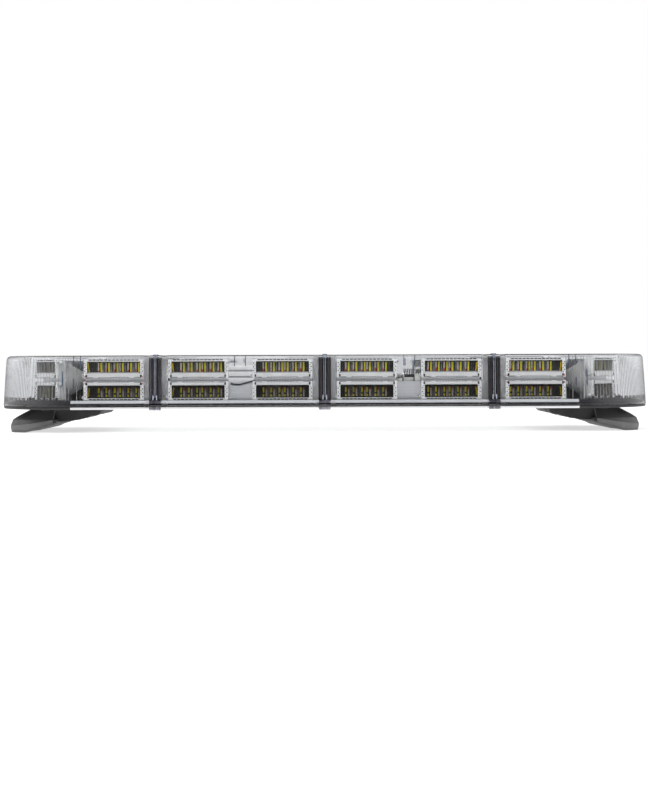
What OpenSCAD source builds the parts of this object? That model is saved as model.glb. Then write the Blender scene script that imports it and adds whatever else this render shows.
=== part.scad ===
// Two-tier LED warning light bar for a vehicle roof: an aluminium base with a rounded tray at each end,
// four clear lenses over three bulkheads, LED light heads all round, and two feet that slide in T-tracks.
// X runs along the bar, -Y is the front, +Z is up. Z = 0 is the surface that the feet stand on.

/* [Body] */
// Spacing of the light heads along the bar
light_pitch = 152.4; // [148:0.1:156]
// Depth over the lenses, front to back
bar_depth = 304.8; // [300:0.1:312]
// Height of the body above the feet
body_height = 97.5; // [96:0.5:102]
// Height from the roof to the underside of the body
foot_height = 43; // [42:0.5:48]

/* [Lenses] */
// Thickness of the lens wall
lens_wall = 3; // [2.5:0.1:3.5]
// How far the lens wall leans inwards from foot to top
lens_lean = 7; // [4:0.5:9]
// Outer radius of the lens's top edge
lens_edge_r = 8; // [6:0.5:10]
// Width of the thick collar at each lens joint
collar_w = 9; // [6:0.5:12]

/* [Light heads] */
// Width of a light head on the front or the rear
head_w = 108; // [104:1:110]
// Width of a corner light head
corner_w = 72; // [70:1:74]
// Height of a light head
head_h = 33.5; // [32:0.5:34]
// Gap between the upper and the lower head
tier_gap = 6; // [5:0.5:7]
// Distance from the bar's middle plane to the face of the front and rear heads
head_face_y = 136; // [134:0.5:137]

/* [Tracks and feet] */
// Distance of each T-track from the bar's middle plane
track_y = 60; // [56:1:64]
// Width of the T-track's slot
track_slot = 9; // [8.6:0.1:10]
// Radius of the holes for the roof bolts
roof_hole_r = 4.25; // [4.1:0.05:4.5]
// Distance of each roof bolt from the foot's middle
roof_hole_y = 62; // [50:1:70]

/* [Hidden] */
$fn = 48;

SIDES = [-1, 1];
head_count = 6;                             // light positions along each face
half_len = head_count * light_pitch / 2;    // half the length of the extrusion
lens_pitch = 2 * light_pitch;               // length of a middle lens
end_r = bar_depth / 2;                      // radius of the rounded ends
z0 = foot_height;                           // underside of the body
z_top = z0 + body_height;                   // top of the lenses
floor_t = 3;
z_floor = z0 + floor_t;                     // inside face of the floor
z_rim = z0 + 16;                            // top of the base's wall
wall_out = end_r - 6.4;                     // outer face of the base's wall
wall_in = wall_out - 3;
ledge_out = end_r - 1.4;                    // outer edge of the ledge that carries the gasket
ledge_top = z0 + 4;
lens_low = z0 + 5.4;                        // lower edge of the lenses
lens_foot_top = z0 + 8;                     // top of the lens's thick lower edge
lens_foot_t = 3.8;
seam_gap = 0.3;                             // half the gap between two lenses
bulkhead_x = [-lens_pitch, 0, lens_pitch];
bulkhead_w = 23;
z_mid = z0 + 53.2;                          // height midway between the two tiers
ex = 0.02;                                  // small overlap where cuts meet a face

// Path of the lens's section, d inside its outer face, from z_low up to the flat top
function corner_r(d) = max(lens_edge_r - d, 0.5);
function wall_r(d, z) = end_r - d - lens_lean * (z - lens_low) / (z_top - lens_edge_r - lens_low);
function arch_half(d, z_low) = concat(
    [[wall_r(d, z_low), z_low]],
    [for (a = [0:15:90]) [
        end_r - lens_lean - d + corner_r(d) * (cos(a) - 1),
        z_top - d + corner_r(d) * (sin(a) - 1)]]);
function reversed(p) = [for (i = [len(p) - 1:-1:0]) p[i]];
function mirrored(p) = [for (q = p) [-q[0], q[1]]];
function arch(d0, d1, z_low) = concat(
    arch_half(d0, z_low),
    reversed(mirrored(arch_half(d0, z_low))),
    mirrored(arch_half(d1, z_low)),
    reversed(arch_half(d1, z_low)));
function arch_end(d0, d1, z_low) = concat(
    arch_half(d0, z_low), [[0, z_top - d0], [0, z_top - d1]], reversed(arch_half(d1, z_low)));

// Extrudes a (Y, Z) section along X
module along_x(x0, x1) {
    translate([x0, 0, 0]) rotate([90, 0, 90]) linear_extrude(x1 - x0) children();
}

// Turns an (R, Z) section round the right-hand end
module round_end() {
    translate([half_len, 0, 0]) rotate([0, 0, -90]) rotate_extrude(angle = 180, $fn = 128) children();
}

// Places children at the left end as a mirror image when side is -1
module at_side(side) {
    if (side > 0) children();
    else mirror([1, 0, 0]) children();
}

module block(low, high) {
    translate(low) cube(high - low);
}

// ---------------------------------------------------------------- base

// Section of the base's wall with its ledge, in (R, Z)
module wall_section() {
    polygon([
        [wall_in, z0], [ledge_out - 1.2, z0], [ledge_out, z0 + 1.2], [ledge_out, ledge_top],
        [wall_out, ledge_top], [wall_out, z_rim], [wall_in - 2, z_rim], [wall_in - 2, z_rim - 2],
        [wall_in, z_rim - 2]]);
}

track_in_w = 18;
track_in_h = 7;
track_t = 2.5;
track_top = z_floor + track_in_h + track_t;

module track_walls() {
    translate([track_y - track_in_w / 2 - track_t, z0])
        square([track_in_w + 2 * track_t, track_top - z0]);
}

module track_space() {
    translate([track_y - track_slot / 2, z0 - 1]) square([track_slot, floor_t + 2]);
    translate([track_y - track_in_w / 2, z_floor]) square([track_in_w, track_in_h]);
}

tongue_len = 26;
tongue_y = 38;
screw_x = half_len - tongue_len / 2;
screw_ys = [-28, 0, 28];

// One half of the extrusion's section, from the middle plane out to the wall
module base_half_section() {
    difference() {
        union() {
            translate([-ex, z0]) square([wall_in + 2 * ex, floor_t]);
            wall_section();
            track_walls();
        }
        track_space();
    }
}

module base_extrusion() {
    color("silver") difference() {
        union() for (s = [0, 1]) mirror([0, s, 0]) along_x(-half_len, half_len) base_half_section();
        for (s = SIDES, y = screw_ys) translate([s * screw_x, y, z0 - 1]) cylinder(r = 3.9, h = floor_t + 2);
    }
}

gland_x = half_len + 50;
gland_y = 118;
gland_hole_r = 8.2;
vent_at = [half_len + 50, -118];
vent_r = 5;

module end_tray(side) {
    color([0.13, 0.13, 0.14]) at_side(side) difference() {
        union() {
            round_end() {
                translate([0, z0]) square([wall_in + ex, floor_t]);
                wall_section();
            }
            // tongue that laps over the extrusion's floor
            block([half_len - tongue_len, -tongue_y, z_floor + 0.1], [half_len + ex, tongue_y, z_floor + 4]);
            block([half_len, -tongue_y, z0 + 1], [half_len + 6, tongue_y, z_floor + 4]);
            // ribs across the floor
            for (x = [30, 60, 90]) block([half_len + x, -96, z_floor - ex], [half_len + x + 2.5, 96, z_floor + 5]);
        }
        for (y = screw_ys) translate([screw_x, y, z_floor]) cylinder(r = 1.9, h = 5);
        if (side > 0) translate([gland_x, gland_y, z0 - 1]) cylinder(r = gland_hole_r, h = floor_t + 2);
        translate([vent_at[0], vent_at[1], z0 - 1]) cylinder(r = vent_r, h = floor_t + 2);
    }
}

// Countersunk-style screws that hold the trays' tongues, flush with the underside
module tray_screws() {
    color("silver") for (s = SIDES, y = screw_ys) translate([s * screw_x, y, z0 + 0.1]) {
        cylinder(r = 3.6, h = floor_t - 0.15);
        cylinder(r = 1.8, h = floor_t + 5.5);
    }
}

// ---------------------------------------------------------------- lenses

module lens_section_half() {
    polygon(arch_end(0, lens_wall, lens_low));
    translate([end_r - lens_foot_t, lens_low]) square([lens_foot_t, lens_foot_top - lens_low]);
}

module lens_straight(x0, x1) {
    along_x(x0, x1) polygon(arch(0, lens_wall, lens_low));
    for (s = SIDES) along_x(x0, x1) translate([s * (end_r - lens_foot_t / 2) - lens_foot_t / 2, lens_low])
        square([lens_foot_t, lens_foot_top - lens_low]);
}

collar_t = 1.4;
collar_low = z_rim + 0.6;

// Thick band just inside a lens's open end
module collar(x0, x1) {
    along_x(x0, x1) polygon(arch(lens_wall - ex, lens_wall + collar_t, collar_low));
}

rib_w = 1.4;
mid_ribs = [-9.8, 9.8];                     // ribs beside the middle of a middle lens
end_ribs = [half_len - 17.5, half_len - 5];

peg_r = 1.7;
peg_z = z_rim + 6;
peg_x = 2.6;

// Pegs beside the joint that the clip pulls together
module pegs(x) {
    for (s = SIDES) translate([x, s * (end_r + 0.2), peg_z]) rotate([s * 90, 0, 0])
        cylinder(r = peg_r, h = 3, center = false, $fn = 24);
}

module lens_mid(x0, x1) {
    color([0.85, 0.88, 0.92, 0.35]) union() {
        lens_straight(x0 + seam_gap, x1 - seam_gap);
        collar(x0 + bulkhead_w / 2 + 0.3, x0 + bulkhead_w / 2 + collar_w);
        collar(x1 - bulkhead_w / 2 - collar_w, x1 - bulkhead_w / 2 - 0.3);
        for (x = mid_ribs) collar((x0 + x1 - rib_w) / 2 + x, (x0 + x1 + rib_w) / 2 + x);
        pegs(x0 + peg_x);
        pegs(x1 - peg_x);
    }
}

module lens_end(side) {
    x1 = lens_pitch;
    color([0.85, 0.88, 0.92, 0.35]) at_side(side) union() {
        lens_straight(x1 + seam_gap, half_len);
        round_end() lens_section_half();
        collar(x1 + bulkhead_w / 2 + 0.3, x1 + bulkhead_w / 2 + collar_w);
        for (x = end_ribs) collar(x - rib_w / 2, x + rib_w / 2);
        pegs(x1 + peg_x);
    }
}

gasket_t = 1.2;

module gasket_section() {
    r0 = wall_out + 0.1;
    z_low = ledge_top;
    polygon([
        [r0, z_low], [ledge_out - 0.1, z_low], [ledge_out - 0.1, z_low + gasket_t],
        [end_r - lens_foot_t - 0.2, z_low + gasket_t], [end_r - lens_foot_t - 0.2, z0 + 10.6], [r0, z0 + 10.6]]);
}

module dome_gasket() {
    color([0.06, 0.06, 0.07]) union() {
        for (s = [0, 1]) mirror([0, s, 0]) along_x(-half_len, half_len) gasket_section();
        for (s = SIDES) at_side(s) round_end() gasket_section();
    }
}

module bulkhead(x) {
    d0 = lens_wall + 0.3;
    color([0.16, 0.14, 0.15]) union() {
        along_x(x - bulkhead_w / 2, x + bulkhead_w / 2) polygon(arch(d0, d0 + 3.5, z_rim + 0.1));
        along_x(x - 2, x + 2) polygon(arch(d0 + 3.4, d0 + 14, z_rim + 0.1));
        for (s = SIDES) scale([1, s, 1])
            block([x - bulkhead_w / 2, wall_in - 8, z_floor], [x + bulkhead_w / 2, wall_in - 2.2, z_rim + 4]);
    }
}

clip_top = z_rim + 2.5;
clip_t = 1.6;

// Clear clips over each lens joint: one hooks under the ledge, one holds the top edge
module dome_clips() {
    r0 = end_r + 0.2;
    color([0.75, 0.8, 0.86, 0.5]) for (x = bulkhead_x, s = [0, 1]) mirror([0, s, 0]) {
        along_x(x - 10.5, x + 10.5) polygon([
            [end_r - 4, z0 - 1.7], [r0 + clip_t, z0 - 1.7], [r0 + clip_t, lens_foot_top],
            [r0 + clip_t - 0.9, clip_top], [r0 - 0.9, clip_top], [r0, lens_foot_top],
            [r0, z0 - 0.2], [end_r - 4, z0 - 0.2]]);
        intersection() {
            along_x(x - 4, x + 4) polygon(arch(-1.4, -0.2, z_rim));
            block([x - 5, end_r - lens_lean - 20, z_top - 12], [x + 5, end_r + 5, z_top + 3]);
        }
    }
}

// ---------------------------------------------------------------- light heads

bezel_depth = 16;
window_z = [8, 31];
pocket_z = [3, 32];
emitter_pairs = [-33.9, -19.9, -4.8, 4.8, 19.9, 33.9];
corner_pairs = [-17.4, -5.8, 5.8, 17.4];
emitter_dx = 2.5;                           // half the distance between the two emitters of a pair
emitter_size = [3, 1.2, 17];
board_y = 12.2;
board_t = 1.6;
ear_r = 3.2;

// $w is the width of the head being drawn
function window_half() = $w / 2 - 6;
function ear_x() = $w / 2 + 1;
function tab_x() = [-$w * 0.3, $w * 0.3];

// Puts children in the upper and, upside down, in the lower tier of a head whose face is at y = 0
module tiers() {
    translate([0, 0, z_mid + tier_gap / 2]) children();
    translate([0, 0, z_mid - tier_gap / 2]) rotate([0, 180, 0]) children();
}

toe_in = 0.02;
function head_x(i) = (i - (head_count + 1) / 2) * light_pitch;

// $toe is how far the head's emitters sit towards the bar's middle, $pairs where each pair of them is
module place_front(i) {
    $w = head_w;
    $pairs = emitter_pairs;
    $toe = -toe_in * head_x(i);
    translate([head_x(i), -head_face_y, 0]) children();
}

module place_rear(i) {
    rotate([0, 0, 180]) place_front(i) children();
}

corner_at = [half_len + 54.3, 95.7];            // face of a corner head, from the bar's centre
corner_turns = [45, -45, 135, -135];        // front right, front left, rear right, rear left

module place_corner(i) {
    $w = corner_w;
    $pairs = corner_pairs;
    $toe = 0;
    a = corner_turns[i - 1];
    x = corner_at[0] * sign(sin(a));
    y = -corner_at[1] * sign(cos(a));
    translate([x, y, 0]) rotate([0, 0, a]) children();
}

module place_all() {
    for (i = [1:head_count]) {
        place_front(i) children();
        place_rear(i) children();
    }
    for (i = [1:4]) place_corner(i) children();
}

module bezel() {
    difference() {
        union() {
            block([-$w / 2, 0, 0], [$w / 2, bezel_depth, head_h]);
            for (s = SIDES) translate([s * ear_x(), 2, head_h / 2 + s * 12]) rotate([-90, 0, 0])
                cylinder(r = ear_r, h = 6, $fn = 24);
            // snap tabs below the white bar
            for (x = tab_x()) block([x - 4, -0.8, 0.6], [x + 4, ex, 3]);
        }
        block([-window_half(), -1, window_z[0]], [window_half(), bezel_depth, window_z[1]]);
        block([-$w / 2 + 3, 11.5, pocket_z[0]], [$w / 2 - 3, bezel_depth + 1, pocket_z[1]]);
    }
}

module light_frame() {
    color([0.88, 0.88, 0.86]) tiers() bezel();
}

module optic() {
    color([0.8, 0.82, 0.85, 0.5]) tiers()
        block([-window_half() + 0.3, 0.6, window_z[0] + 0.3], [window_half() - 0.3, 6.5, window_z[1] - 0.3]);
}

module led_board() {
    color([0.1, 0.12, 0.1]) tiers() block(
        [-$w / 2 + 3.4, board_y, pocket_z[0] + 0.4], [$w / 2 - 3.4, board_y + board_t, pocket_z[1] - 0.4]);
}

// One emitter of each pair, on the pair's left (side -1) or right (side 1) in the upper tier
module emitters(side) {
    z = (window_z[0] + window_z[1] - emitter_size[2]) / 2;
    translate([$toe, 0, 0]) tiers() for (x = $pairs) translate(
        [x + side * emitter_dx - emitter_size[0] / 2, board_y - emitter_size[1], z]) cube(emitter_size);
}

sink_y = bezel_depth + 0.2;
sink_t = 2;
fin_len = 9;

// Plate behind both tiers, with fins on its upper half
module heat_sink() {
    color("gainsboro") union() {
        block([-$w / 2 + 1, sink_y, z_mid - 34], [$w / 2 - 1, sink_y + sink_t, z_mid + 34]);
        for (i = [-4:4]) translate([i * ($w - 20) / 8, 0, 0])
            block([-0.8, sink_y + sink_t - ex, z_mid], [0.8, sink_y + sink_t + fin_len, z_mid + 34]);
    }
}

module head_screws() {
    color("silver") place_all() tiers() for (s = SIDES)
        translate([s * (ear_x() + 1), -0.2, head_h / 2 + s * 12]) rotate([-90, 0, 0]) cylinder(r = 1.7, h = 2.1, $fn = 20);
}

rail_y = head_face_y - sink_y - sink_t - 0.1;   // front face of the rail's web
rail_t = 2;
rail_top = z_mid - 4;
rail_end = half_len - 25;

module rail() {
    color("lightgray") along_x(-rail_end, rail_end) polygon([
        [-rail_y, z_floor + 0.1], [-rail_y + 17, z_floor + 0.1], [-rail_y + 17, z_floor + 2.1],
        [-rail_y + rail_t, z_floor + 2.1], [-rail_y + rail_t, rail_top], [-rail_y, rail_top]]);
}

pod_wall_x = half_len + 12;
pod_y = 98;
pod_len = 36;

// Bent brackets behind one end's two corner heads, each with a wall for its pod cover
module corner_bracket(side) {
    color("lightgray") at_side(side) for (s = [0, 1]) mirror([0, s, 0]) {
        translate([corner_at[0], -corner_at[1], 0]) rotate([0, 0, 45]) {
            block([-34, sink_y + sink_t + 0.1, z_floor + 6], [34, sink_y + sink_t + rail_t, rail_top]);
            block([-24, sink_y + sink_t + 0.1, z_floor + 5.1], [24, sink_y + sink_t + 14, z_floor + 7.1]);
        }
        block([pod_wall_x, -128, z_floor + 0.1], [pod_wall_x + 2, -70, z_mid + 33]);
    }
}

// Cones that close the backs of the corner pods and lead their wires inboard
module pod_covers() {
    color([0.8, 0.8, 0.78]) for (sx = SIDES, sy = SIDES) at_side(sx)
        translate([pod_wall_x - 0.1, sy * pod_y, z_mid]) rotate([0, -90, 0]) difference() {
            cylinder(r1 = 31, r2 = 8, h = pod_len);
            translate([0, 0, -1]) cylinder(r = 5, h = pod_len + 3);
        }
}

// ---------------------------------------------------------------- electrics

driver_x = [-240, -70];
driver_y = 44;
driver_top = z0 + 80;

module driver_housing() {
    color("whitesmoke") difference() {
        union() {
            block([driver_x[0], -driver_y, z_floor + 0.1], [driver_x[1], driver_y, driver_top]);
            for (x = driver_x) block([x - 8, -30, z_floor + 0.1], [x + 8, 30, z_floor + 3]);
            for (y = [-36:12:36]) block([driver_x[0], y - 1.2, driver_top - ex], [driver_x[1], y + 1.2, driver_top + 4]);
        }
        block([driver_x[0] + 3, -driver_y + 3, z_floor + 3], [driver_x[1] - 3, driver_y - 3, driver_top - 3]);
    }
}

board_x = [95, 255];
control_z = z0 + 37;

module control_board() {
    color([0.05, 0.2, 0.12]) union() {
        block([board_x[0], -44, control_z], [board_x[1], 44, control_z + 1.6]);
        for (x = [board_x[0] + 6, board_x[1] - 6], y = [-38, 38])
            translate([x, y, z_floor + 0.1]) cylinder(r = 3, h = control_z - z_floor, $fn = 24);
    }
}

// Plug sockets along both edges, with a processor and capacitors between
module control_components() {
    z = control_z + 1.7;
    color([0.12, 0.13, 0.16]) {
        for (i = [0:5], s = SIDES) translate([board_x[0] + 22 + i * 23, s * 33, z]) translate([-8, -6, 0]) cube([16, 12, 22]);
        translate([board_x[0] + 60, -11, z]) cube([22, 22, 3]);
        for (i = [0:3]) translate([board_x[0] + 100 + i * 14, 0, z]) cylinder(r = 5, h = 16, $fn = 32);
    }
}

trunk_y = 92;
trunk_z = z_floor + 8;
trunk_r = 4.5;
branch_r = 1.8;
plug_z = z_mid - 14;

// Two trunks along the bar, joined by a cross lead, with a branch to every light position
module wiring_harness() {
    color([0.08, 0.08, 0.08]) union() {
        for (s = SIDES) {
            translate([-half_len + 14, s * trunk_y, trunk_z]) rotate([0, 90, 0])
                cylinder(r = trunk_r, h = 2 * half_len - 28, $fn = 24);
            for (i = [1:head_count]) {
                x = head_x(i);
                translate([x, s * trunk_y, trunk_z]) cylinder(r = branch_r, h = plug_z - trunk_z, $fn = 16);
                translate([x, s * trunk_y, plug_z]) sphere(r = branch_r, $fn = 16);
                translate([x, s * trunk_y, plug_z]) rotate([-s * 90, 0, 0])
                    cylinder(r = branch_r, h = rail_y - rail_t - 8.2 - trunk_y, $fn = 16);
            }
        }
        translate([20, -trunk_y, track_top + 6]) rotate([-90, 0, 0]) cylinder(r = 3.5, h = 2 * trunk_y, $fn = 24);
        for (s = SIDES) translate([20, s * trunk_y, trunk_z]) cylinder(r = 3.5, h = track_top + 6 - trunk_z, $fn = 24);
        for (s = SIDES) translate([20, s * trunk_y, track_top + 6]) sphere(r = 3.5, $fn = 24);
    }
}

module harness_plugs() {
    color([0.9, 0.9, 0.85]) for (s = SIDES, i = [1:head_count]) {
        x = head_x(i);
        y = s * (rail_y - rail_t - 4.1);
        translate([x - 6, y - 4, plug_z - 5]) cube([12, 8, 10]);
    }
}

gland_bore_r = 6;

// Gland under the right-hand tray, with the bore that the supply cable enters by
module cable_gland() {
    color([0.1, 0.1, 0.1]) translate([gland_x, gland_y, 0]) difference() {
        union() {
            translate([0, 0, z0 - 5]) cylinder(r = 12, h = 4.9, $fn = 6);
            translate([0, 0, z0 - 13]) cylinder(r = 9.5, h = 8.1);
            translate([0, 0, z0 - 5]) cylinder(r = 8, h = 17);
        }
        translate([0, 0, z0 - 14]) cylinder(r = gland_bore_r, h = 28);
    }
}

module gland_nut() {
    color([0.15, 0.15, 0.15]) translate([gland_x, gland_y, z_floor + 0.1]) difference() {
        cylinder(r = 11.5, h = 5, $fn = 6);
        translate([0, 0, -1]) cylinder(r = 8.05, h = 7);
    }
}

module breather_vents() {
    color([0.3, 0.3, 0.32]) for (s = SIDES) translate([s * vent_at[0], vent_at[1], 0]) {
        translate([0, 0, z0 - 2.1]) cylinder(r = 7, h = 2);
        translate([0, 0, z0 - 0.2]) cylinder(r = vent_r - 0.2, h = floor_t + 1.2);
    }
}

// ---------------------------------------------------------------- feet

pad_x = [493, 585];                         // inboard and outboard ends of the foot's pad
pad_half = 100;                             // half the pad's width
pad_corner_r = 42;                          // outboard corners in plan
flat_x = [550, 578];                        // level part of the pad's underside
wedge_x = 415;                              // inboard end of the wedge under the bar
cover_x = 500;                              // inboard end of the cover
plate_x = 391;                              // inboard end of the clamping plate
plate_half = 90;
foot_top = foot_height - 0.3;
plate_t = 3.4;
bolt_x = 436;
roof_bolt_x = 565;
bracket_hole_r = 4.4;

// Plan of the pad, inset by d: square inboard corners and large outboard ones
module pad_plan(d) {
    r = pad_corner_r - d;
    union() {
        translate([pad_x[0] + d, -pad_half + d]) square([pad_x[1] - pad_x[0] - d - pad_corner_r, 2 * (pad_half - d)]);
        translate([pad_x[0] + d, -pad_half + pad_corner_r])
            square([pad_x[1] - pad_x[0] - 2 * d, 2 * (pad_half - pad_corner_r)]);
        for (s = SIDES) translate([pad_x[1] - pad_corner_r, s * (pad_half - pad_corner_r)]) circle(r = r, $fn = 64);
    }
}

// Extrudes an (X, Z) section along Y
module along_y(half) {
    translate([0, half, 0]) rotate([90, 0, 0]) linear_extrude(2 * half) children();
}

module roof_holes(r, h) {
    for (s = SIDES) translate([roof_bolt_x, s * roof_hole_y, -1]) cylinder(r = r, h = h);
}

module foot_pad(side) {
    color([0.1, 0.1, 0.1]) at_side(side) difference() {
        intersection() {
            linear_extrude(40) pad_plan(1.5);
            along_y(pad_half) polygon([
                [flat_x[0], 0], [pad_x[1], 0], [pad_x[1], 4], [flat_x[0], 4],
                [pad_x[0], 18.3], [pad_x[0], 16.2], [pad_x[0] + 3, 14.2], [pad_x[0] + 7, 13], [pad_x[0] + 24, 8],
                [pad_x[0] + 31, 4.3], [flat_x[0] - 4, 1.9]]);
        }
        roof_holes(roof_hole_r, 20);
    }
}

bracket_hole_z = 30;
track_bolt_pocket_r = 11;

// Casting: clamping plate, ribbed wedge and the carrier that the pad and the cover sit on
module foot_bracket(side) {
    color([0.2, 0.2, 0.21]) at_side(side) difference() {
        union() {
            along_y(plate_half) polygon([
                [plate_x, foot_top - 0.8], [wedge_x, foot_top - plate_t], [cover_x - 0.1, foot_top - plate_t],
                [cover_x - 0.1, foot_top], [plate_x, foot_top]]);
            along_y(plate_half - 12) polygon([
                [wedge_x, foot_top - plate_t + ex], [wedge_x, 35], [wedge_x + 5, 31], [wedge_x + 23, 28],
                [wedge_x + 33, 24.3], [wedge_x + 41, 22], [pad_x[0] - 12, 19.6], [cover_x - 0.1, 19.4],
                [cover_x - 0.1, foot_top - plate_t + ex]]);
            intersection() {
                linear_extrude(40) pad_plan(0);
                along_y(pad_half) polygon([
                    [pad_x[0], 18.5], [flat_x[0], 4.1], [pad_x[1] - 4, 4.1], [pad_x[1], 12.6],
                    [570, 13], [535, 17.2], [cover_x, 23], [pad_x[0], 24]]);
            }
        }
        // pockets that leave ribs in the wedge
        for (x = [wedge_x + 38, wedge_x + 58], y = [-54, -18, 18]) block([x, y, 10], [x + 16, y + 36 - 4, foot_top - 6]);
        for (s = SIDES) translate([bolt_x, s * track_y, 0]) {
            translate([0, 0, foot_top - 5]) cylinder(r = bracket_hole_r, h = 8);
            translate([0, 0, 10]) cylinder(r = track_bolt_pocket_r, h = foot_top - plate_t - 10);
        }
        roof_holes(roof_hole_r, bracket_hole_z);
    }
}

cover_t = 2.5;

// Outline of the cover at one height, d inside it: rounded outboard corners, square inboard ones
module cover_ring(x1, half, r, z, d) {
    for (s = SIDES) {
        translate([x1 - r, s * (half - r), z]) cylinder(r = r - d, h = 0.1, $fn = 40);
        translate([cover_x + 0.1, s * (half - d) - (s + 1) / 2, z]) cube([1, 1, 0.1]);
    }
}

module cover_shape(d) {
    hull() {
        cover_ring(pad_x[1], pad_half, pad_corner_r, 12, d);
        cover_ring(pad_x[1] - 4, pad_half - 4, 40, 23 - d / 2, d);
        cover_ring(pad_x[1] - 14, pad_half - 10, 34, 29.5 - d, d);
        cover_ring(546, pad_half - 22, 22, foot_top - d - 0.1, d);
    }
}

module foot_cover(side) {
    color([0.25, 0.25, 0.26]) at_side(side) difference() {
        cover_shape(0);
        cover_shape(cover_t);
        // seat on the carrier's sloping top
        along_y(pad_half + 1) polygon([
            [cover_x - 1, 0], [pad_x[1] + 1, 0], [pad_x[1] + 1, 12.8], [570, 13.2], [535, 17.4], [cover_x - 1, 23.2]]);
    }
}

bolt_head_z = z_floor + 0.3;

// Square-headed track bolts with their washers and nuts
module foot_bolts(side) {
    nut_top = foot_top - plate_t - 1.7;
    color("silver") at_side(side) for (s = SIDES) translate([bolt_x, s * track_y, 0]) {
        block([-8, -8, bolt_head_z], [8, 8, bolt_head_z + 5.3]);
        translate([0, 0, nut_top - 10]) cylinder(r = 3.9, h = bolt_head_z - nut_top + 10 + ex);
        translate([0, 0, nut_top + 0.05]) difference() {
            cylinder(r = 8.4, h = 1.6);
            translate([0, 0, -1]) cylinder(r = 4, h = 4);
        }
        translate([0, 0, nut_top - 6.5]) difference() {
            cylinder(r = 7.5, h = 6.5, $fn = 6);
            translate([0, 0, -1]) cylinder(r = 4, h = 9);
        }
    }
}

base_extrusion();
end_tray(-1);  // end_tray_left
end_tray(1);  // end_tray_right
tray_screws();
lens_end(-1);  // dome_end_left
lens_mid(-lens_pitch, 0);  // dome_mid_left
lens_mid(0, lens_pitch);  // dome_mid_right
lens_end(1);  // dome_end_right
dome_gasket();
dome_clips();
bulkhead(bulkhead_x[0]);  // bulkhead_left
bulkhead(bulkhead_x[1]);  // bulkhead_centre
bulkhead(bulkhead_x[2]);  // bulkhead_right
rail();  // rail_front
rotate([0, 0, 180]) rail();  // rail_rear
corner_bracket(-1);  // corner_bracket_left
corner_bracket(1);  // corner_bracket_right
pod_covers();
for (i = [1:head_count]) {
    place_front(i) light_frame();
    place_rear(i) light_frame();
}
for (i = [1:4]) place_corner(i) light_frame();
for (i = [1:head_count]) place_front(i) optic();  // optics_front
for (i = [1:head_count]) place_rear(i) optic();  // optics_rear
for (i = [1:4]) place_corner(i) optic();  // optics_corner
for (i = [1:head_count]) place_front(i) led_board();  // led_boards_front
for (i = [1:head_count]) place_rear(i) led_board();  // led_boards_rear
for (i = [1:4]) place_corner(i) led_board();  // led_boards_corner
color([0.8, 0.75, 0.1]) place_all() emitters(1);  // amber_emitters
color([0.75, 0.65, 0.62]) place_all() emitters(-1);  // pale_emitters
place_all() heat_sink();  // heat_sinks
head_screws();
driver_housing();
control_board();
control_components();
wiring_harness();
harness_plugs();
cable_gland();
gland_nut();
breather_vents();
foot_bracket(-1);  // foot_bracket_left
foot_cover(-1);  // foot_cover_left
foot_pad(-1);  // foot_pad_left
foot_bolts(-1);  // foot_bolts_left
foot_bracket(1);  // foot_bracket_right
foot_cover(1);  // foot_cover_right
foot_pad(1);  // foot_pad_right
foot_bolts(1);  // foot_bolts_right
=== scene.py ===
import math

import bmesh
import bpy
from mathutils import Matrix, Vector


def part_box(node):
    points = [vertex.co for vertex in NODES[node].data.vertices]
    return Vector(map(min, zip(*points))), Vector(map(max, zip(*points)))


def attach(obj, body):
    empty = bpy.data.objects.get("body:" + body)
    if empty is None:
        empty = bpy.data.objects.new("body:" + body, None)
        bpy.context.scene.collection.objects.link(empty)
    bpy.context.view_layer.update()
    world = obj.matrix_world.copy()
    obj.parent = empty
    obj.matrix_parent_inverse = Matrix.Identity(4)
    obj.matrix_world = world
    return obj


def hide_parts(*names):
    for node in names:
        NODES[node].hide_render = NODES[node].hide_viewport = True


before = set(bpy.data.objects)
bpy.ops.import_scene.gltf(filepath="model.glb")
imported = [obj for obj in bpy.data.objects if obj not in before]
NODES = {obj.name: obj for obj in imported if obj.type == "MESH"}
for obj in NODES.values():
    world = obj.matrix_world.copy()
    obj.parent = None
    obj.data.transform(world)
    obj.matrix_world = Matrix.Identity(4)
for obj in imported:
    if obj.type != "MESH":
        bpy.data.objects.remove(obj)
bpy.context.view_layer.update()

scene = bpy.context.scene
scene.view_settings.view_transform = "Standard"
scene.view_settings.look = "None"


# ---------------------------------------------------------------- measures of the CAD model


def named(*starts):
    return [n for n in NODES if n.startswith(starts)]


def middle(node, axis):
    lo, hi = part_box(node)
    return (lo[axis] + hi[axis]) / 2


def length(node, axis):
    lo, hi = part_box(node)
    return hi[axis] - lo[axis]


def mm(*values):
    """Metres from millimetres."""
    return tuple(v / 1000 for v in values)


# Height of the gap between the two tiers of the light heads
TIER_Z = middle("light_frame_front_1", 2)
TIER_BLEND = 0.001
# Length of a middle lens: one lens joint is in the middle of the bar and the others this far from it
LENS_LENGTH = length("dome_mid_left", 0)


# ---------------------------------------------------------------- camera

CAMERA_AT = (-0.0014, -2.517, 0.120)
CAMERA_LENS = 60.4
CAMERA_PITCH, CAMERA_ROLL = math.radians(-1.17), math.radians(0.22)


def make_camera():
    data = bpy.data.cameras.new("camera")
    data.lens = CAMERA_LENS
    data.sensor_width = 36.0
    data.clip_end = 50.0
    cam = bpy.data.objects.new("camera", data)
    scene.collection.objects.link(cam)
    cam.matrix_world = (
        Matrix.Translation(CAMERA_AT)
        @ Matrix.Rotation(math.radians(90) + CAMERA_PITCH, 4, "X")
        @ Matrix.Rotation(-CAMERA_ROLL, 4, "Z")
    )
    scene.camera = cam


# ---------------------------------------------------------------- node trees


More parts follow.
